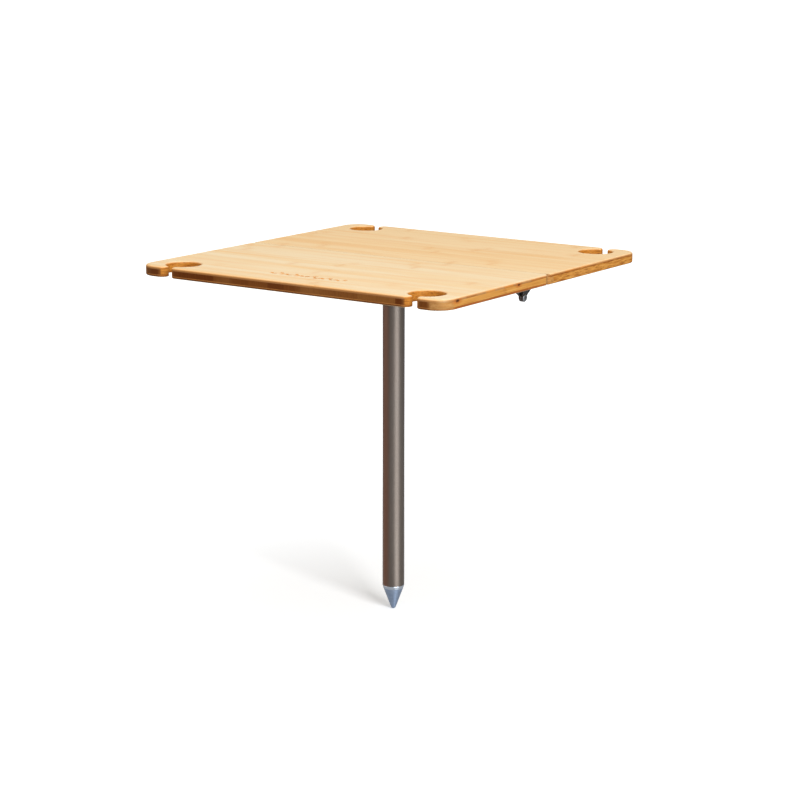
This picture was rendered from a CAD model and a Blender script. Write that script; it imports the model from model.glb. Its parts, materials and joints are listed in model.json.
# Folding picnic table on a ground stake: looks, light and camera.
# Metres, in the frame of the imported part: the stake stands on the z axis with its tip near
# z = 0, the two leaves meet along y = 0 (front leaf at -y), and their upper face is at TOP.
# Shader patterns are laid out in millimetres of the same frame.
import json
import math

import bpy
import bmesh
from mathutils import Matrix, Vector

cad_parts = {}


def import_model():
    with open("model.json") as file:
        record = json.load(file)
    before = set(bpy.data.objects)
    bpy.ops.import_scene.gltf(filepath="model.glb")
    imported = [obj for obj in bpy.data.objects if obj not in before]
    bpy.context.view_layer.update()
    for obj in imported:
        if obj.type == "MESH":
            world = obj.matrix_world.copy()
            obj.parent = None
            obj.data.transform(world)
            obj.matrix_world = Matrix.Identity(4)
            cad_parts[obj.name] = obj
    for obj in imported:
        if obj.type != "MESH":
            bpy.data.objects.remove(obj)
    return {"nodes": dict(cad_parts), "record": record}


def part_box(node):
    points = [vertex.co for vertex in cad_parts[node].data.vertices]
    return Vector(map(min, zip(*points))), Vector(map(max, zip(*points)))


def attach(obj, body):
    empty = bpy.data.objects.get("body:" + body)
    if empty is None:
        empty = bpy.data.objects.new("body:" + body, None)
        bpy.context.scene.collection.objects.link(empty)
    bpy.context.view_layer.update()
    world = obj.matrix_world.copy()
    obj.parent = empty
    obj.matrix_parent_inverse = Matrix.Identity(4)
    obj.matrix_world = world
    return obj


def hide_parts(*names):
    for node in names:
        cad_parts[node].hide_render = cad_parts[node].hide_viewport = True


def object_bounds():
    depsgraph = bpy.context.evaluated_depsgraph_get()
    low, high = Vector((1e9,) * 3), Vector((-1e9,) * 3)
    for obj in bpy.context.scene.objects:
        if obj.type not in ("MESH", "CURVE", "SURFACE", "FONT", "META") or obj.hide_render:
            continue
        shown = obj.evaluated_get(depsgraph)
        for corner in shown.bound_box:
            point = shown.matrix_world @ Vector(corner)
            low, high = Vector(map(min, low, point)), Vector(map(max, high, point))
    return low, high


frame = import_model()
NODES = frame["nodes"]


def as_list(box):
    return [[float(c) for c in corner] for corner in box]


cad_box = as_list(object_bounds())
TOP = cad_box[1][2]                       # upper face of the leaves
scene = bpy.context.scene

# Leaves, mm
TOP_MM = TOP * 1000.0
FACE_PLY, CORE_PLY = 3.0, 5.7             # thickness; the back ply takes the rest
FACE_GLUE = TOP_MM - FACE_PLY             # height of the two glue lines
BACK_GLUE = FACE_GLUE - CORE_PLY
PLY_BLUR = 0.06                           # half height of the change from ply to ply
NODE_PITCH = 231.0                        # between the culm nodes of one strip
NOTCH_X, NOTCH_Y, NOTCH_R = 160.0, 170.5, 19.2      # the four glass notches, mirrored

# Threaded stud
THREAD_DEPTH, THREAD_LEAD = 0.00175, 0.003
CREST, FLANK = 0.32, 0.18                 # shares of the lead; the root is as wide as the crest
THREAD_SIDES, THREAD_STEP = 96, 0.00015
CHAMFER_TOP, CHAMFER_BOTTOM, CHAMFER_DEPTH = 0.0016, 0.0012, 0.0013

# Branded vine
VINE_X, VINE_INSET = 0.0005, 0.0405       # middle of the vine; its distance from the front edge
VINE_HALF, VINE_WAVE = 0.050, 0.0021      # half length, height of the wave
VINE_BOTTOM, VINE_TOP = TOP - 0.00002, TOP + 0.00003
STEM_STEPS, LEAF_STEPS = 120, 12
STEM_WIDTH = 0.0013
LEAF_LENGTH, LEAF_WIDTH, LEAF_TIP = 0.0070, 0.0034, 0.00010
LEAF_LEAN, LEAF_BEND = 58, 0.35           # degrees from the stem line, radians at the tip
DIAMOND_HALF, DIAMOND_WIDTH, DIAMOND_TIP = 0.0042, 0.0052, 0.00008

# Studio
VIEW_AZIMUTH = 35.1                       # degrees the set is turned about z
AMBIENT, WORLD_SEEN = 0.50, 1.05          # world as a light, and as the camera sees it
FLOOR_LIFT = 0.27                         # glow of the floor in the camera's view
# bright part of the floor in reflections: direction, outer and inner spread in degrees,
# glow close to the stake and glow everywhere
GLEAM_AZ, GLEAM_OUT, GLEAM_IN, GLEAM_NEAR, GLEAM_FAR = 35.0, 28.0, 8.0, 1.36, 1.06
FLOOR_DROP = 0.0002
FLOOR_FRONT, FLOOR_STEP, FLOOR_STEPS = -8.0, 2.5, 8
SWEEP_RADIUS, SWEEP_STEPS = 3.0, 12
WALL_HEIGHT, FLOOR_HALF = 9.0, 14.0


# --------------------------------------------------------------- shader networks
def operator(operation, swapped=False):
    def method(self, other):
        pair = (other, self) if swapped else (self, other)
        return self.net.math(operation, *pair)
    return method


class Value:
    """A node output; arithmetic on it writes Math nodes."""

    def __init__(self, net, socket):
        self.net = net
        self.socket = socket

    __add__, __radd__ = operator("ADD"), operator("ADD", swapped=True)
    __sub__, __rsub__ = operator("SUBTRACT"), operator("SUBTRACT", swapped=True)
    __truediv__, __rtruediv__ = operator("DIVIDE"), operator("DIVIDE", swapped=True)
    __mul__ = operator("MULTIPLY")

    def __abs__(self):
        return self.net.math("ABSOLUTE", self)

    def fade(self, start, end, off=0.0, on=1.0):
        """Smooth change from off at start to on at end."""
        inputs = {0: self, 1: start, 2: end, 3: off, 4: on}
        return self.net.value("ShaderNodeMapRange", inputs,
                              interpolation_type="SMOOTHSTEP", clamp=True)

    def blend(self, off, on):
        """Number between off and on, with this value as the factor."""
        return self.net.value("ShaderNodeMix", {0: self, 2: off, 3: on},
                              data_type="FLOAT", clamp_factor=True)

    def mix(self, off, on):
        """Colour between off and on, with this value as the factor."""
        return self.net.value("ShaderNodeMix", {0: self, 6: off, 7: on}, output=2,
                              data_type="RGBA", blend_type="MIX", clamp_factor=True)

    def tint(self, colour, amount):
        """This colour, moved towards another one."""
        return amount.mix(self, colour)


class Net:
    """A material and its shader network; xyz is the shaded point in mm."""

    def __init__(self, name):
        self.mat = bpy.data.materials.new(name)
        self.mat.use_nodes = True
        self.tree = self.mat.node_tree
        self.tree.nodes.clear()
        self.output = self.node("ShaderNodeOutputMaterial")
        self.coordinates = self.node("ShaderNodeTexCoord")
        self.xyz = [c * 1000.0 for c in self.coordinate("Object")]

    def put(self, socket, value):
        if isinstance(value, Value):
            self.tree.links.new(value.socket, socket)
        elif value is not None:
            if socket.type == "RGBA" and len(value) == 3:
                value = (*value, 1.0)
            socket.default_value = value

    def node(self, kind, inputs=None, **properties):
        node = self.tree.nodes.new(kind)
        for key, setting in properties.items():
            setattr(node, key, setting)
        for key, value in (inputs or {}).items():
            self.put(node.inputs[key], value)
        return node

    def value(self, kind, inputs=None, output=0, **properties):
        return Value(self, self.node(kind, inputs, **properties).outputs[output])

    def math(self, operation, *values):
        return self.value("ShaderNodeMath", dict(enumerate(values)), operation=operation)

    def length(self, a, b):
        return self.math("SQRT", a * a + b * b)

    def split(self, vector):
        node = self.node("ShaderNodeSeparateXYZ", {0: vector})
        return [Value(self, socket) for socket in node.outputs]

    def coordinate(self, kind):
        return self.split(Value(self, self.coordinates.outputs[kind]))

    def vector(self, place):
        """Vector from a tuple of three; a vector is passed on."""
        if isinstance(place, tuple):
            return self.value("ShaderNodeCombineXYZ", dict(enumerate(place)))
        return place

    def noise(self, place, scale=1.0, detail=2.0, rough=0.5, distort=0.0):
        return self.value("ShaderNodeTexNoise", {
            "Vector": self.vector(place), "Scale": scale, "Detail": detail,
            "Roughness": rough, "Distortion": distort}, noise_dimensions="3D")

    def line_noise(self, place, detail=0.0):
        return self.value("ShaderNodeTexNoise", {
            "W": place, "Scale": 1.0, "Detail": detail,
            "Roughness": 0.5, "Distortion": 0.0}, noise_dimensions="1D")

    def randoms(self, seed):
        """Three random numbers for a seed."""
        return self.split(self.value("ShaderNodeTexWhiteNoise", {"W": seed}, "Color",
                                     noise_dimensions="1D"))

    def dots(self, place, scale):
        """Distance to the nearest of many scattered points."""
        return self.value("ShaderNodeTexVoronoi", {
            "Vector": self.vector(place), "Scale": scale, "Randomness": 1.0},
            "Distance", feature="F1", distance="EUCLIDEAN")

    def ramp(self, factor, stops):
        node = self.node("ShaderNodeValToRGB", {0: factor})
        elements = node.color_ramp.elements
        while len(elements) < len(stops):
            elements.new(0.5)
        for element, (position, colour) in zip(elements, stops):
            element.position = position
            element.color = (*colour, 1.0)
        return Value(self, node.outputs[0])

    def bump(self, height, strength, distance, edge=None):
        """Relief (distance in m), over edges rounded to the radius edge if given."""
        normal = None
        if edge is not None:
            normal = self.value("ShaderNodeBevel", {"Radius": edge}, samples=6)
        return self.value("ShaderNodeBump", {"Strength": strength, "Distance": distance,
                                             "Height": height, "Normal": normal})

    def principled(self, **inputs):
        return self.value("ShaderNodeBsdfPrincipled",
                          {key.replace("_", " "): v for key, v in inputs.items()})

    def finish(self, shader):
        self.put(self.output.inputs[0], shader)
        return self.mat

    def surface(self, **inputs):
        return self.finish(self.principled(**inputs))


def srgb(*channels):
    """Linear colour from sRGB channels, 0 to 255."""
    def linear(c):
        c /= 255.0
        return c / 12.92 if c <= 0.04045 else ((c + 0.055) / 1.055) ** 2.4
    return tuple(linear(c) for c in channels)


# ------------------------------------------------------------------- bamboo
# face tones (pale, middle, warm) of the front leaf and of the slightly warmer rear leaf
FACE = srgb(244, 221, 181), srgb(243, 212, 163), srgb(240, 192, 127)
FACE_REAR = srgb(245, 214, 165), srgb(243, 206, 151), srgb(238, 184, 114)
FLECK = srgb(230, 158, 78)
CORE = srgb(220, 169, 90), srgb(210, 152, 74), srgb(184, 120, 50)
CORE_FLECK = srgb(150, 86, 34)
# end grain: four tones from strip to strip, and the colour of the lines between
FACE_END = (srgb(182, 132, 84), srgb(160, 110, 64), srgb(186, 108, 38), srgb(200, 132, 62))
FACE_END_LINE = srgb(124, 70, 28)
CORE_END = (srgb(94, 44, 6), srgb(106, 54, 10), srgb(114, 62, 18), srgb(134, 84, 36))
CORE_END_LINE = srgb(70, 32, 4)
BACK_END = (srgb(186, 114, 48), srgb(176, 104, 42), srgb(164, 92, 36), srgb(158, 86, 32))
BACK_END_LINE = srgb(100, 50, 18)
# speckled walls: light, middle, dark
REAR_BAND = srgb(214, 152, 70), srgb(178, 110, 36), srgb(126, 66, 16)
NOTCH_WALL = srgb(210, 138, 52), srgb(188, 112, 32), srgb(118, 60, 14)
# dark knots in the ends of the front leaf: y, depth under TOP, half width, half height (mm)
END_KNOTS = ((-60.0, 2.9, 2.3, 1.15), (-176.0, 3.0, 3.2, 1.45))
CORNER_GAIN = 1.0                         # strength of the corner mask


class Bamboo(Net):
    """Lacquered three-ply board: face and back grain run along x, core grain along y."""

    def __init__(self):
        super().__init__("bamboo_three_ply")
        x, y, z = self.xyz
        normal_x, normal_y, self.normal_z = self.coordinate("Normal")
        # parts of the normal and place without their sign
        self.facing = abs(normal_x), abs(normal_y), abs(self.normal_z)
        self.off_x, self.off_y = abs(x), abs(y)
        # masks: rear leaf, plies, board edges, faces square to x and to y
        self.rear = y.fade(start=-0.2, end=0.2)
        self.in_face = z.fade(start=FACE_GLUE - PLY_BLUR, end=FACE_GLUE + PLY_BLUR)
        self.in_back = z.fade(start=BACK_GLUE - PLY_BLUR, end=BACK_GLUE + PLY_BLUR,
                              off=1.0, on=0.0)
        self.on_edge = self.facing[2].fade(start=0.80, end=0.45)
        self.cut_x = self.facing[0].fade(start=0.55, end=0.92)
        self.cut_y = self.facing[1].fade(start=0.55, end=0.92)

    # patterns
    def strips(self, across, width, wander, seed):
        """Strip number, three random numbers per strip, and distance to the seam in mm."""
        drift = (self.line_noise(across * (0.021 + seed * 1e-4)) - 0.5) * wander
        place = (across + drift) / width + seed
        index = self.math("FLOOR", place)
        inside = self.math("FRACT", place)
        randoms = self.randoms(index + (seed * 7.31 + 0.37))
        edge = self.math("MINIMUM", inside, 1.0 - inside) * width
        return index, randoms, edge

    def long_grain(self, along, across, up, strips, tones, fleck):
        """Colour and height of strips seen from the side."""
        index, (random_tone, random_place, random_force), edge = strips
        pale, middle, warm = tones
        shift = index * 13.7
        # broad tone of the strip, then slow drift, then fibres
        tone = random_tone.fade(start=0.05, end=0.95).mix(pale, middle)
        drift = self.noise((along * 0.0045, across * 0.10, shift), detail=3.0, rough=0.55)
        tone = tone.tint(warm, drift.fade(start=0.44, end=0.76, on=0.75))
        tone = tone.tint(pale, drift.fade(start=0.46, end=0.26, on=0.6))
        fibre = self.noise((along * 0.014, across * 1.1 + shift, up * 1.1),
                           detail=5.0, rough=0.60)
        fine = self.noise((along * 0.05, across * 5.0, up * 5.0 + shift), rough=0.6)
        tone = tone.tint(warm, fibre.fade(start=0.50, end=0.78, on=0.55))
        tone = tone.tint(warm, fine.fade(start=0.55, end=0.85, on=0.30))
        # culm nodes: a short wavy mark once per pitch on each strip
        turn = along / NODE_PITCH + random_place * 5.0 + index * 0.37
        wave = (self.noise((along * 0.02, across * 0.45, shift)) - 0.5) * 11.0
        gap = abs((self.math("FRACT", turn) - 0.5) * NODE_PITCH + wave)
        knot = gap.fade(start=4.6, end=0.4) * random_force.fade(start=0.15, end=0.6, off=0.25)
        halo = gap.fade(start=13.0, end=3.0) * 0.30
        flecks = self.noise((along * 0.30, across * 1.5, shift), detail=3.0, rough=0.6)
        flecks = flecks.fade(start=0.44, end=0.60)
        knot = knot * flecks.blend(off=0.30, on=1.0)
        tone = tone.tint(warm, halo * flecks.blend(off=0.3, on=1.0))
        tone = tone.tint(fleck, knot * 0.50)
        # glued seam between two strips
        seam = edge.fade(start=0.30, end=0.05)
        tone = tone.tint(fleck, seam * random_force.blend(off=0.10, on=0.40))
        return tone, fibre * 0.55 + (fine * 0.25 + (seam * -0.5 + knot * -0.35))

    def end_grain(self, across, up, strips, tones, line):
        """Colour and height of strips seen end on, as blocks side by side."""
        index, (random_tone, _, _), edge = strips
        tone = self.ramp(random_tone, list(zip((0.0, 0.42, 0.62, 1.0), tones)))
        stria = self.noise((across * 1.7, up * 0.10, index * 3.3), detail=4.0, rough=0.65)
        tone = tone.tint(line, stria.fade(start=0.48, end=0.74, on=0.50))
        tone = tone.tint(tones[3], stria.fade(start=0.46, end=0.26, on=0.28))
        spots = self.dots((across, up, index * 3.3), scale=1.7)
        tone = tone.tint(line, spots.fade(start=0.36, end=0.14, on=0.35))
        tone = tone.tint(line, edge.fade(start=0.30, end=0.05) * 0.45)
        return tone, spots * 0.5 + stria * 0.5

    def speckled(self, across, up, tones):
        """Ends of fibre bundles: short dashes over an uneven ground."""
        light, middle, dark = tones
        cloud = self.noise((across * 0.10, up * 0.45, 4.0), detail=3.0, rough=0.6)
        tone = cloud.fade(start=0.34, end=0.70).mix(light, middle)
        dash = self.noise((across * 0.20, up * 0.95, 9.0), detail=4.0, rough=0.68)
        tone = tone.tint(dark, dash.fade(start=0.50, end=0.66, on=0.90))
        tone = tone.tint(light, dash.fade(start=0.46, end=0.32, on=0.80))
        fine = self.dots((across * 0.8, up * 1.5, 0.0), scale=1.4)
        return tone.tint(dark, fine.fade(start=0.34, end=0.10, on=0.45))

    # plies: each returns colour and height
    def ply(self, cut, long_grain, end_grain):
        """Faces square to a ply's fibres show its end grain."""
        return cut.mix(long_grain[0], end_grain[0]), cut.blend(long_grain[1], end_grain[1])

    def face_ply(self):
        x, y, z = self.xyz
        strips = self.strips(y, width=17.6, wander=5.0, seed=3.0)
        tones = [self.rear.mix(front, rear) for front, rear in zip(FACE, FACE_REAR)]
        return self.ply(self.cut_x, self.long_grain(x, y, z, strips, tones, FLECK),
                        self.end_grain(y, z, strips, FACE_END, FACE_END_LINE))

    def core_ply(self):
        x, y, z = self.xyz
        strips = self.strips(x, width=23.5, wander=11.0, seed=5.0)
        tone, height = self.long_grain(y, z, x, strips, CORE, CORE_FLECK)
        # dark and light streaks, and a darker lower part
        streak = self.noise((y * 0.022, z * 0.95, 7.0), detail=3.0, rough=0.6)
        tone = tone.tint(srgb(168, 104, 40), streak.fade(start=0.52, end=0.68, on=0.60))
        tone = tone.tint(srgb(228, 178, 100), streak.fade(start=0.46, end=0.32, on=0.55))
        tone = tone.tint(srgb(176, 108, 40),
                         z.fade(start=TOP_MM - 8.0, end=TOP_MM - 10.2, on=0.35))
        return self.ply(self.cut_y, (tone, height),
                        self.end_grain(x, z, strips, CORE_END, CORE_END_LINE))

    def back_ply(self):
        x, y, z = self.xyz
        strips = self.strips(y + 7.0, width=17.6, wander=5.0, seed=9.0)
        tones = FACE[0], *FACE_REAR[1:]
        under, height = self.long_grain(x, y, z, strips, tones, FLECK)
        # on the edges, a brown rim that is darker at the bottom
        patches = self.noise((x * 0.02, 0.0, z * 0.9), detail=4.0, rough=0.6)
        upper, lower = (patches.fade(start=0.35, end=0.7).mix(*pair) for pair in (
            (srgb(172, 114, 58), srgb(146, 88, 38)), (srgb(112, 62, 24), srgb(92, 48, 16))))
        rim = z.fade(start=TOP_MM - 9.3, end=TOP_MM - 9.9).mix(upper, lower)
        return self.ply(self.cut_x, (self.on_edge.mix(under, rim), height),
                        self.end_grain(y, z, strips, BACK_END, BACK_END_LINE))

    def plies(self):
        face, face_height = self.face_ply()
        core, core_height = self.core_ply()
        back, back_height = self.back_ply()
        colour = self.in_face.mix(core, face)
        # face ply on the long edges is browner
        rim = self.cut_y * self.in_face * self.facing[2].fade(start=0.92, end=0.60)
        colour = colour.tint(srgb(142, 82, 30), rim * 0.88)
        height = self.in_back.blend(self.in_face.blend(core_height, face_height), back_height)
        return self.in_back.mix(colour, back), height

    # features: each takes the colour so far and returns it with the feature added
    def corners(self, colour):
        """Rounded outer corners blend to a lighter tan; returns the tan as well."""
        x, y, z = self.xyz
        both = self.facing[0] * self.facing[1] * 2.0 * CORNER_GAIN
        corner = self.math("MINIMUM", both, 1.0).fade(start=0.06, end=0.50) * self.on_edge
        front_right = x.fade(start=176.0, end=180.0) * (1.0 - self.rear)
        by_joint = self.off_y.fade(start=6.6, end=6.0)
        corner = corner * self.math("MAXIMUM", front_right.blend(off=0.15, on=1.0), by_joint)
        patches = self.noise(((x - y) * 0.35, z * 0.30, 2.0), detail=4.0, rough=0.6)
        tan = patches.fade(start=0.34, end=0.68).mix(srgb(194, 146, 88), srgb(166, 114, 60))
        return colour.tint(tan, corner * self.in_face.blend(off=0.80, on=0.45)), tan

    def rear_ends(self, colour, tan):
        """Ends of the rear leaf: a speckled band under the arris, tan beside the joint."""
        _, y, z = self.xyz
        beside = self.cut_x * self.rear * self.off_y.fade(start=11.5, end=9.5)
        speckle = self.speckled(y * 0.45, z, REAR_BAND)
        band = self.cut_x * self.rear * z.fade(start=TOP_MM - 1.7, end=TOP_MM - 2.3)
        ribbon = self.noise((y * 0.055, z * 0.62, 21.0), detail=3.0, rough=0.65)
        speckle = speckle.tint(srgb(136, 72, 18), ribbon.fade(start=0.51, end=0.62, on=0.55))
        speckle = speckle.tint(srgb(216, 162, 86), ribbon.fade(start=0.46, end=0.38, on=0.50))
        colour = colour.tint(speckle, band).tint(tan, beside * 0.62)
        # patchy dark line just under the band's top
        line = self.cut_x * self.rear * abs(z - (TOP_MM - 2.6)).fade(start=1.0, end=0.2)
        patchy = self.line_noise(y * 0.05, detail=2.0).fade(start=0.32, end=0.62,
                                                            off=0.30, on=0.85)
        return colour.tint(srgb(140, 70, 18), line * patchy)

    def notches(self, colour):
        """Walls of the glass notches and their slots; returns the wall mask as well."""
        x, y, z = self.xyz
        from_x, from_y = self.off_x - NOTCH_X, self.off_y - NOTCH_Y
        hole = self.length(from_x, from_y).fade(start=NOTCH_R + 2.3, end=NOTCH_R + 1.5)
        slot = (abs(from_x).fade(start=13.2, end=11.8)
                * self.facing[1].fade(start=0.97, end=0.80))
        slot = slot * self.off_y.fade(start=170.0, end=174.0)
        wall = self.math("MAXIMUM", hole, slot) * self.on_edge
        tone = self.speckled(self.math("ARCTAN2", from_y, from_x) * NOTCH_R, z, NOTCH_WALL)
        # faint dark and light stripes on the slot
        outside = 1.0 - hole
        stripe = self.noise((x * 0.34, y * 0.34, z * 0.05), rough=0.6)
        tone = tone.tint(srgb(124, 68, 22), outside * stripe.fade(start=0.52, end=0.64, on=0.14))
        tone = tone.tint(srgb(226, 172, 104), outside * stripe.fade(start=0.46, end=0.34, on=0.10))
        colour = colour.tint(tone, wall * 0.88)
        low = wall * z.fade(start=TOP_MM - 8.0, end=TOP_MM - 9.6)
        return colour.tint(srgb(128, 70, 28), low * 0.45), wall

    def end_knots(self, colour):
        """Two small dark knots with a brown halo on each end of the front leaf."""
        x, y, z = self.xyz
        end = self.cut_x * self.off_x.fade(start=193.0, end=196.0)
        for knot_y, depth, half_width, half_height in END_KNOTS:
            from_y = (y - knot_y) / half_width
            from_z = (z - (TOP_MM - depth)) / half_height
            uneven = (self.noise((x, y, z), scale=0.9) - 0.5) * 0.9
            distance = self.length(from_y, from_z) + uneven
            halo = distance.fade(start=3.8, end=1.2) * (end * 0.65)
            heart = distance.fade(start=1.35, end=0.6) * (end * 0.90)
            colour = colour.tint(srgb(178, 94, 32), halo).tint(srgb(62, 26, 10), heart)
        return colour

    def arrises_and_glue(self, colour, wall):
        x, y, z = self.xyz
        # the upper arris is a shade deeper than the face
        arris = (self.facing[2].fade(start=0.985, end=0.90)
                 * self.normal_z.fade(start=0.25, end=0.45))
        amount = self.facing[0].fade(start=0.15, end=0.30).blend(off=0.50, on=0.36)
        colour = colour.tint(srgb(208, 148, 80), arris * amount)
        # thin dark glue lines between the plies, on the edges only
        lines = [abs(z - glue).fade(start=0.18, end=0.04) for glue in (FACE_GLUE, BACK_GLUE)]
        glue = self.math("MAXIMUM", *lines) * self.on_edge * (1.0 - wall * 0.8)
        colour = colour.tint(srgb(92, 50, 20), glue * 0.50)
        # lacquer darkens the lower arris
        low = (z.fade(start=TOP_MM - 9.9, end=TOP_MM - 11.3)
               * self.normal_z.fade(start=-0.85, end=-0.25))
        colour = colour.tint(srgb(92, 50, 24), low * 0.45)
        # a little overall mottling so that no area is flat
        blotch = self.noise((x * 0.011, y * 0.02, 0.0))
        return colour.tint(FACE_REAR[2], blotch.fade(start=0.42, end=0.8, on=0.10))


def bamboo():
    net = Bamboo()
    colour, height = net.plies()
    colour, tan = net.corners(colour)
    colour = net.rear_ends(colour, tan)
    colour, wall = net.notches(colour)
    colour = net.end_knots(colour)
    colour = net.arrises_and_glue(colour, wall)
    rough = 0.40 + (height - 0.5) * 0.16
    rough = net.math("MAXIMUM", rough + net.on_edge * 0.10, 0.2)
    return net.surface(Base_Color=colour, Roughness=rough,
                       Normal=net.bump(height, strength=0.20, distance=0.00006),
                       Specular_IOR_Level=net.on_edge.blend(off=0.42, on=0.10),
                       Coat_Weight=net.on_edge.blend(off=0.08, on=0.0), Coat_Roughness=0.34)


# ------------------------------------------------------------ metals, nylon, branding
def anodised():
    """Drawn tube with a satin bronze anodised finish."""
    net = Net("bronze_anodised")
    x, y, z = net.xyz
    draw = net.noise((net.math("ARCTAN2", y, x) * 55.0, z * 0.012, 0.0), detail=4.0, rough=0.65)
    grain = net.noise((x, y, z), scale=3.2, rough=0.6)
    cloud = net.noise((x, y, z * 0.35), scale=0.05)
    colour = draw.fade(start=0.3, end=0.7).mix((0.186, 0.160, 0.142), (0.218, 0.190, 0.168))
    colour = colour.tint((0.200, 0.164, 0.142), cloud.fade(start=0.35, end=0.7, on=0.5))
    rough = 0.37 + (draw - 0.5) * 0.12 + (grain - 0.5) * 0.08
    normal = net.bump(draw * 0.7 + grain * 0.5, strength=0.10, distance=0.00002, edge=0.0003)
    return net.surface(Base_Color=colour, Metallic=1.0, Roughness=rough, Normal=normal,
                       Coat_Weight=0.25, Coat_Roughness=0.30)


def zinc_tip():
    """Turned steel point, zinc plated: tool rings, faint haze, scuffed nose."""
    net = Net("zinc_point")
    x, y, z = net.xyz
    rings = net.noise((0.0, 0.0, z), scale=4.2, detail=3.0, rough=0.6)
    haze = net.noise((x, y, z), scale=0.28, detail=3.0, rough=0.6)
    scuff = net.noise((x * 2.2, y * 2.2, z * 0.7), detail=4.0, rough=0.7)
    nose = z.fade(start=12.0, end=0.0)
    colour = haze.fade(start=0.35, end=0.7).mix((0.36, 0.47, 0.66), (0.43, 0.55, 0.74))
    colour = colour.tint((0.27, 0.32, 0.40), scuff.fade(start=0.56, end=0.66) * (nose * 0.5))
    # brighter, smoother metal above this height
    band = z.fade(start=25.2, end=25.4)
    colour = colour.tint((0.76, 0.86, 0.98), band * 0.8)
    rough = band.blend(off=0.38, on=0.24) + (rings - 0.5) * 0.14 + nose * (scuff * 0.12)
    normal = net.bump(rings, strength=0.22, distance=0.00003, edge=0.00025)
    return net.surface(Base_Color=colour, Metallic=1.0, Roughness=rough, Normal=normal)


def plated(name, light, dark, rough, edge=0.0003, cloud_scale=0.18):
    """Stamped or turned steel with a plated finish: cloudy tone, fine scratches."""
    net = Net(name)
    x, y, z = net.xyz
    point = net.vector((x, y, z))
    cloud = net.noise(point, scale=cloud_scale, detail=3.0, rough=0.6)
    fine = net.noise(point, scale=2.4, detail=3.0, rough=0.6)
    scratch = net.noise((x * 0.25, y * 3.5, z * 3.5), detail=3.0, rough=0.7, distort=0.4)
    colour = cloud.fade(start=0.32, end=0.70).mix(dark, light)
    colour = colour.tint(light, scratch.fade(start=0.62, end=0.70, on=0.35))
    colour = colour.tint(dark, fine.fade(start=0.55, end=0.8, on=0.25))
    normal = net.bump(fine * 0.5 + scratch * 0.5, strength=0.12, distance=0.00003, edge=edge)
    return net.surface(Base_Color=colour, Metallic=1.0, Normal=normal,
                       Roughness=rough + ((cloud - 0.5) * 0.16 + (fine - 0.5) * 0.12))


def brass():
    net = Net("machined_brass")
    x, y, z = net.xyz
    rings = net.noise((0.0, 0.0, z), scale=5.0, detail=3.0, rough=0.6)
    tarnish = net.noise((x, y, z), scale=0.35, detail=4.0, rough=0.65)
    colour = tarnish.fade(start=0.4, end=0.75).mix(srgb(214, 176, 98), srgb(168, 124, 62))
    normal = net.bump(rings, strength=0.2, distance=0.00003, edge=0.0002)
    return net.surface(Base_Color=colour, Metallic=1.0, Normal=normal,
                       Roughness=0.26 + (rings - 0.5) * 0.18)


def nylon():
    net = Net("natural_nylon")
    point = net.vector(tuple(net.xyz))
    milk = net.noise(point, scale=0.5)
    pits = net.noise(point, scale=5.0, rough=0.6)
    colour = milk.fade(start=0.3, end=0.7).mix(srgb(232, 228, 214), srgb(218, 212, 194))
    normal = net.bump(pits, strength=0.15, distance=0.00003, edge=0.00015)
    return net.surface(Base_Color=colour, Roughness=0.46 + (pits - 0.5) * 0.2, Normal=normal,
                       Subsurface_Weight=0.15, Subsurface_Scale=0.001)


def scorched():
    """Shallow branding: scorched fibres with uneven tone."""
    net = Net("scorched_line")
    x, y, _ = net.xyz
    fibre = net.noise((x * 0.5, y * 3.0, 0.0), detail=4.0, rough=0.65)
    blotch = net.noise((x, y, 0.0), scale=0.25)
    colour = fibre.fade(start=0.3, end=0.7).mix(srgb(226, 154, 76), srgb(212, 136, 56))
    colour = colour.tint(srgb(236, 176, 102), blotch.fade(start=0.4, end=0.7, on=0.5))
    return net.surface(Base_Color=colour, Roughness=0.6 + fibre * 0.2, Specular_IOR_Level=0.3,
                       Normal=net.bump(fibre, strength=0.3, distance=0.00005))


MATS = {
    "bamboo": bamboo(),
    "anodised_tube": anodised(),
    "tip_steel": zinc_tip(),
    "stud_steel": plated("zinc_stud", light=srgb(196, 200, 204), dark=srgb(150, 154, 160),
                         rough=0.30, edge=0.00015, cloud_scale=0.3),
    "insert_brass": brass(),
    "nylon": nylon(),
    "bracket_steel": plated("dark_zinc_bracket", light=(0.17, 0.165, 0.17),
                            dark=(0.085, 0.08, 0.08), rough=0.30),
    "pin_steel": plated("bright_zinc_pin", light=srgb(206, 212, 222), dark=srgb(160, 166, 178),
                        rough=0.24, edge=0.0002, cloud_scale=0.4),
    "screw_steel": plated("zinc_screw", light=srgb(204, 202, 190), dark=srgb(156, 154, 144),
                          rough=0.28, edge=0.00015, cloud_scale=0.4),
    "lock_steel": plated("dark_zinc_lock", light=(0.18, 0.178, 0.185),
                         dark=(0.09, 0.086, 0.088), rough=0.32),
}
RIVET_STEEL = plated("dark_zinc_rivet", light=(0.30, 0.31, 0.33), dark=(0.16, 0.16, 0.165),
                     rough=0.20, edge=0.0002, cloud_scale=0.3)
RIVETS = ("left_hinge_rivet", "right_hinge_rivet", "hinge_washers")


def dress_parts():
    slot_names = {s["node"]: s["material_slot"] for s in frame["record"]["subparts"]}
    for name, part in NODES.items():
        mat = RIVET_STEEL if name in RIVETS else MATS[slot_names[name]]
        for slot in part.material_slots:
            slot.material = mat
        if not part.material_slots:
            part.data.materials.append(mat)


dress_parts()


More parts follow.
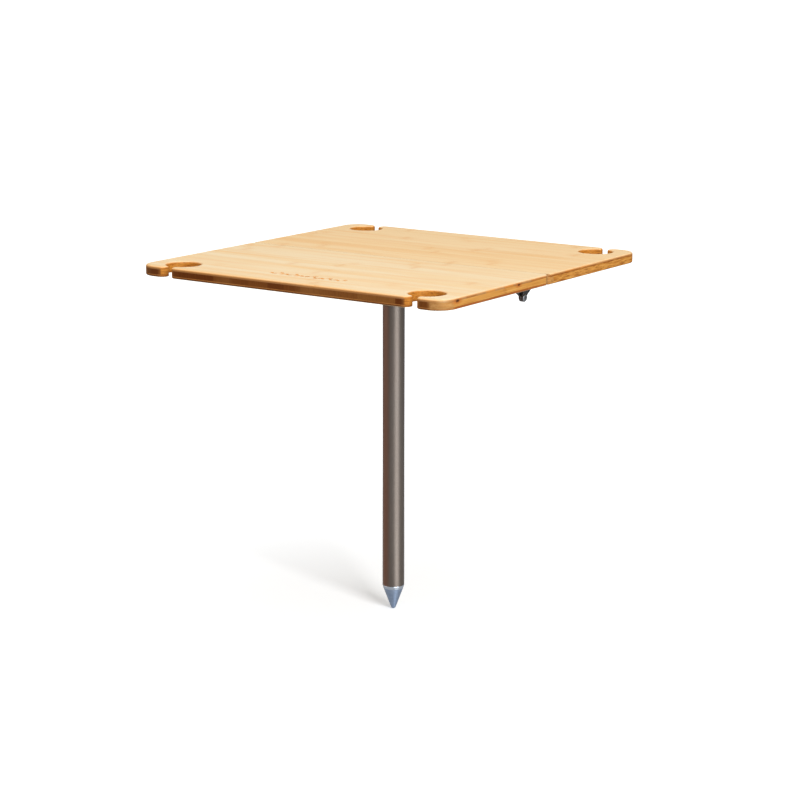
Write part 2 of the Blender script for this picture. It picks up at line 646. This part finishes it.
# ------------------------------------------------------------ built pieces
def smooth_object(name, verts, faces, mat):
    mesh = bpy.data.meshes.new(name)
    mesh.from_pydata(verts, [], faces)
    mesh.validate()
    mesh.materials.append(mat)
    mesh.shade_smooth()
    made = bpy.data.objects.new(name, mesh)
    scene.collection.objects.link(made)
    return made


def thread_height(phase):
    """Trapezoid over one lead: crest 1, flank, root 0, flank."""
    if phase < CREST:
        return 1.0
    if phase < CREST + FLANK:
        return 1.0 - (phase - CREST) / FLANK
    if phase < 2 * CREST + FLANK:
        return 0.0
    return (phase - 2 * CREST - FLANK) / FLANK


def threaded_stud():
    """Right-hand trapezoidal thread along the whole stud, chamfered at both ends."""
    low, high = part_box("pole_stud")
    radius = (high.x - low.x) / 2
    sides = THREAD_SIDES
    rows = int(round((high.z - low.z) / THREAD_STEP))
    verts, faces = [], []
    for k in range(rows + 1):
        z = low.z + (high.z - low.z) * k / rows
        for i in range(sides):
            angle = 2 * math.pi * i / sides
            phase = ((z - low.z) / THREAD_LEAD - angle / (2 * math.pi)) % 1.0
            r = radius - THREAD_DEPTH * (1 - thread_height(phase))
            inward = min((high.z - z) / CHAMFER_TOP, (z - low.z) / CHAMFER_BOTTOM, 1.0)
            r = min(r, radius - (1 - inward) * CHAMFER_DEPTH)
            verts.append((r * math.cos(angle), r * math.sin(angle), z))
    for k in range(rows):
        for i in range(sides):
            j = (i + 1) % sides
            faces.append((k * sides + i, k * sides + j, (k + 1) * sides + j, (k + 1) * sides + i))
    faces.append(tuple(reversed(range(sides))))
    faces.append(tuple(rows * sides + i for i in range(sides)))
    stud = smooth_object("threaded_stud", verts, faces, MATS["stud_steel"])
    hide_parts("pole_stud")
    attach(stud, "pole")


def ribbon(bm, points, widths):
    """Thin closed strip of varying width along a line in the face of the leaf."""
    rows = []
    for i, ((x, y), width) in enumerate(zip(points, widths)):
        before, after = points[max(i - 1, 0)], points[min(i + 1, len(points) - 1)]
        dx, dy = after[0] - before[0], after[1] - before[1]
        length = math.hypot(dx, dy) or 1.0
        side_x, side_y = -dy / length * width / 2, dx / length * width / 2
        rows.append([bm.verts.new((x + s * side_x, y + s * side_y, z)) for s, z in (
            (1, VINE_TOP), (-1, VINE_TOP), (-1, VINE_BOTTOM), (1, VINE_BOTTOM))])
    for a, b in zip(rows, rows[1:]):
        for k in range(4):
            m = (k + 1) % 4
            bm.faces.new((a[k], b[k], b[m], a[m]))
    bm.faces.new(rows[0])
    bm.faces.new(list(reversed(rows[-1])))


def vine_leaf(bm, x, y, place, up):
    """Curved leaf from the stem at (x, y); up is 1 or -1, place runs -1 to 1."""
    side = 1 if place > 0 else -1
    lean = math.radians(LEAF_LEAN * up)
    if side < 0:
        lean = math.pi - lean
    length = LEAF_LENGTH * (1 - 0.25 * abs(place))
    points, widths = [], []
    for i in range(LEAF_STEPS + 1):
        t = i / LEAF_STEPS
        angle = lean - LEAF_BEND * t * t * up * side
        points.append((x + length * t * math.cos(angle), y + length * t * math.sin(angle)))
        widths.append(LEAF_TIP + LEAF_WIDTH * math.sin(math.pi * min(1.0, t * 1.02)) ** 0.8)
    ribbon(bm, points, widths)


def branded_vine():
    """Vine near the front edge: a wavy stem, small leaves and a diamond in the middle."""
    middle_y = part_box("front_leaf")[0].y + VINE_INSET

    def on_stem(place):
        return (VINE_X + place * VINE_HALF,
                middle_y + VINE_WAVE * math.sin(place * math.pi * 5))

    bm = bmesh.new()
    places = [-1 + 2 * i / STEM_STEPS for i in range(STEM_STEPS + 1)]
    ribbon(bm, [on_stem(p) for p in places],
           [STEM_WIDTH * (1 - 0.6 * abs(p) ** 4) for p in places])
    for j in range(-9, 10):
        if j != 0:
            vine_leaf(bm, *on_stem(j / 10.0), place=j / 10.0, up=1 if j % 2 else -1)
    places = [-1 + 2 * i / LEAF_STEPS for i in range(LEAF_STEPS + 1)]
    ribbon(bm, [(VINE_X, middle_y + DIAMOND_HALF * p) for p in places],
           [DIAMOND_TIP + DIAMOND_WIDTH * (1 - abs(p)) for p in places])
    bmesh.ops.recalc_face_normals(bm, faces=bm.faces)
    mesh = bpy.data.meshes.new("branded_vine")
    bm.to_mesh(mesh)
    bm.free()
    mesh.materials.append(scorched())
    vine = bpy.data.objects.new("branded_vine", mesh)
    scene.collection.objects.link(vine)
    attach(vine, "front_leaf")


threaded_stud()
branded_vine()


# ------------------------------------------------------------------- studio
def floor_material():
    """White to the camera, grey as a bouncer and clear from below."""
    net = Net("pale_floor")
    x, y, z = net.xyz
    path = net.node("ShaderNodeLightPath")
    seen = Value(net, path.outputs["Is Camera Ray"])
    shine = Value(net, path.outputs["Is Glossy Ray"])
    cloud = net.noise((x, y, z), scale=0.02, detail=3.0)
    white = cloud.mix((0.905, 0.92, 0.93), (0.925, 0.94, 0.95))
    grey = cloud.mix((0.50, 0.50, 0.50), (0.52, 0.515, 0.51))
    far = net.length(x, y)
    lift = seen * (FLOOR_LIFT + far.fade(start=90.0, end=900.0, on=0.60))

    def sector(azimuth, outer, inner):
        """Mask of the floor around a direction from the stake; spreads in degrees."""
        a = math.radians(VIEW_AZIMUTH + azimuth)
        cosine = (x * math.sin(a) + y * -math.cos(a)) / net.math("MAXIMUM", far, 1.0)
        return cosine.fade(start=math.cos(math.radians(outer)),
                           end=math.cos(math.radians(inner)))

    # in reflections the floor is brighter to the right, and brown to the left
    bright = sector(GLEAM_AZ, outer=GLEAM_OUT, inner=GLEAM_IN)
    reach = GLEAM_FAR + GLEAM_NEAR / (1.0 + far / 350.0)
    beyond = shine * far.fade(start=60.0, end=95.0)
    lift = lift + beyond * bright * reach
    grey = grey.tint((0.46, 0.27, 0.20), beyond * sector(-85.0, outer=48.0, inner=20.0))
    solid = net.principled(Base_Color=seen.mix(grey, white), Roughness=0.9,
                           Specular_IOR_Level=0.1, Emission_Color=(1.0, 1.0, 1.0),
                           Emission_Strength=lift)
    from_below = net.value("ShaderNodeNewGeometry", output="Backfacing")
    clear = net.value("ShaderNodeBsdfTransparent")
    return net.finish(net.value("ShaderNodeMixShader", {0: from_below, 1: solid, 2: clear}))


def floor():
    """Flat floor that sweeps up into a wall behind the table."""
    mat = floor_material()
    # distance away from the camera's side, height
    profile = [(FLOOR_FRONT + FLOOR_STEP * i, 0.0) for i in range(FLOOR_STEPS + 1)]
    flat_end = profile[-1][0]
    for i in range(1, SWEEP_STEPS + 1):
        a = math.radians(90 * i / SWEEP_STEPS)
        profile.append((flat_end + SWEEP_RADIUS * math.sin(a),
                        SWEEP_RADIUS - SWEEP_RADIUS * math.cos(a)))
    profile.append((flat_end + SWEEP_RADIUS, WALL_HEIGHT))
    turn = math.radians(VIEW_AZIMUTH)
    away = Vector((-math.sin(turn), math.cos(turn), 0))
    right = Vector((math.cos(turn), math.sin(turn), 0))
    verts = []
    for distance, height in profile:
        for side in (-FLOOR_HALF, FLOOR_HALF):
            p = away * distance + right * side
            verts.append((p.x, p.y, height - FLOOR_DROP))
    faces = [(2 * i, 2 * i + 1, 2 * i + 3, 2 * i + 2) for i in range(len(profile) - 1)]
    made = smooth_object("floor", verts, faces, mat)
    return made


def world():
    """White where it is seen, softer as a light."""
    made = bpy.data.worlds.new("studio")
    made.use_nodes = True
    scene.world = made
    nodes, links = made.node_tree.nodes, made.node_tree.links
    nodes.clear()
    output = nodes.new("ShaderNodeOutputWorld")
    background = nodes.new("ShaderNodeBackground")
    path = nodes.new("ShaderNodeLightPath")
    strength = nodes.new("ShaderNodeMath")
    strength.operation = "MULTIPLY_ADD"
    strength.inputs[1].default_value = WORLD_SEEN - AMBIENT
    strength.inputs[2].default_value = AMBIENT
    background.inputs[0].default_value = (1.0, 1.0, 1.0, 1.0)
    links.new(path.outputs["Is Camera Ray"], strength.inputs[0])
    links.new(strength.outputs[0], background.inputs[1])
    links.new(background.outputs[0], output.inputs[0])


def area(name, azimuth, elevation, distance, size, power, colour=(1, 1, 1),
         target=(0, 0, 0.25)):
    """Soft box; azimuth is turned from the camera's side towards the right, in degrees."""
    a = math.radians(VIEW_AZIMUTH + azimuth)
    e = math.radians(elevation)
    to_lamp = Vector((math.sin(a) * math.cos(e), -math.cos(a) * math.cos(e), math.sin(e)))
    light = bpy.data.lights.new(name, "AREA")
    light.shape = "RECTANGLE"
    light.size, light.size_y = size
    light.energy = power
    light.color = colour
    lamp = bpy.data.objects.new(name, light)
    aim = Vector(target)
    lamp.location = aim + to_lamp * distance
    lamp.rotation_euler = (aim - lamp.location).to_track_quat("-Z", "Y").to_euler()
    lamp.visible_camera = False
    scene.collection.objects.link(lamp)
    return lamp


def group(name, members):
    made = bpy.data.collections.new(name)
    for member in members:
        made.objects.link(member)
    return made


def lamps(ground_plane):
    all_but_floor = group("all_but_floor", [ground_plane])
    all_but_floor.collection_objects[0].light_linking.link_state = "EXCLUDE"
    key = area("key", azimuth=33, elevation=26, distance=3.3, size=(2.64, 3.04), power=92.0)
    fill = area("fill", azimuth=-85, elevation=8, distance=2.6, size=(1.6, 1.6), power=4.0,
                colour=(1.0, 0.70, 0.58))
    top = area("top", azimuth=-45, elevation=70, distance=2.6, size=(1.8, 1.8), power=34.0)
    for lamp in (key, fill, top):
        lamp.light_linking.receiver_collection = all_but_floor

    # a low warm lamp reddens the stake's left side, a small one from below lights its tip
    stake = [NODES["pole_tube"], NODES["spike_tip"]]
    blockers = group("stake_itself", stake)
    ember = area("ember", azimuth=-104, elevation=-12, distance=1.5, size=(2.8, 1.00),
                 power=1.8, colour=(1.0, 0.36, 0.20), target=(0, 0, 0.20))
    glint = area("glint", azimuth=44, elevation=-52, distance=0.8, size=(0.5, 0.40),
                 power=0.3, target=(0, 0, 0.015))
    for lamp, lit in ((ember, stake), (glint, stake[1:])):
        lamp.light_linking.receiver_collection = group(lamp.name + "_on", lit)
        lamp.light_linking.blocker_collection = blockers

    # the floor has its own soft lamp, so that only the stake's shadow falls on it
    ground = area("ground", azimuth=27, elevation=34, distance=2.4, size=(0.9, 1.0),
                  power=42.0, target=(0, 0, 0))
    ground.light_linking.receiver_collection = group("floor_only", [ground_plane])
    ground.light_linking.blocker_collection = group("stake", stake)


def camera():
    azimuth, pitch, roll = (math.radians(v) for v in (34.7288, 12.6915, 0.1086))
    forward = Vector((-math.sin(azimuth) * math.cos(pitch),
                      math.cos(azimuth) * math.cos(pitch), -math.sin(pitch)))
    level = Vector((math.cos(azimuth), math.sin(azimuth), 0.0))
    upright = level.cross(forward)
    right = level * math.cos(roll) + upright * math.sin(roll)
    up = -level * math.sin(roll) + upright * math.cos(roll)
    data = bpy.data.cameras.new("camera")
    data.sensor_width = 36.0
    data.lens = 95.413275
    data.clip_start, data.clip_end = 0.05, 100.0
    made = bpy.data.objects.new("camera", data)
    placing = Matrix((right, up, -forward)).transposed().to_4x4()
    placing.translation = Vector((1.33493, -1.91318, 0.36312 + TOP))
    made.matrix_world = placing
    scene.collection.objects.link(made)
    scene.camera = made


backdrop = floor()
world()
lamps(backdrop)
camera()
scene.view_settings.view_transform = "Standard"
scene.view_settings.look = "None"
